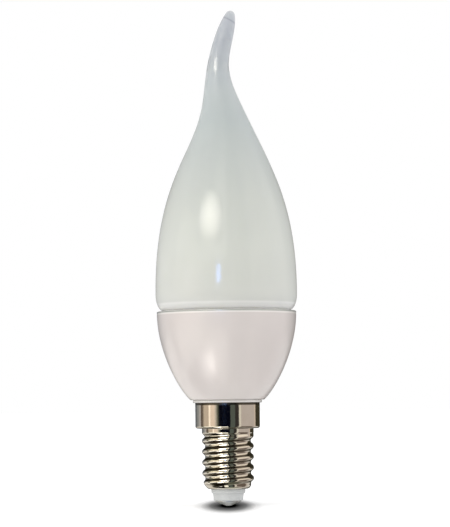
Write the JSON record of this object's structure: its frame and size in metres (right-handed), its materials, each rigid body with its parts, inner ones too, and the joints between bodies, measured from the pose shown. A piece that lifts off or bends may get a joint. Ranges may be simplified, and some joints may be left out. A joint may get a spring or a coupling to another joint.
{
  "type": "candle bulb",
  "caption": "Flame-shaped candle bulb with a bent tip: frosted cover on a white tapered housing, above a metal screw cap with a plain skirt and a centre contact.",
  "frame": {"origin": "the lowest point of the centre contact, on the lamp's axis", "axes": "+Z along the lamp's axis from the contact towards the tip; the tip bends in the XZ plane, first towards -X and then back past the axis towards +X; +Y is away from the picture's viewer"},
  "size_m": [0.0376, 0.0376, 0.1319],
  "materials": {
    "cover": "frosted, opal pale grey-green, smooth outside with soft highlights",
    "housing": "white, satin gloss",
    "cap_metal": "bright nickel plating on drawn sheet",
    "insulator": "white, matt",
    "contact_metal": "nickel plated, satin"
  },
  "bodies": {
    "root": {"cover": "cover", "housing": "housing", "screw_cap": "cap_metal", "insulator": "insulator", "centre_contact": "contact_metal"}
  },
  "joints": []
}
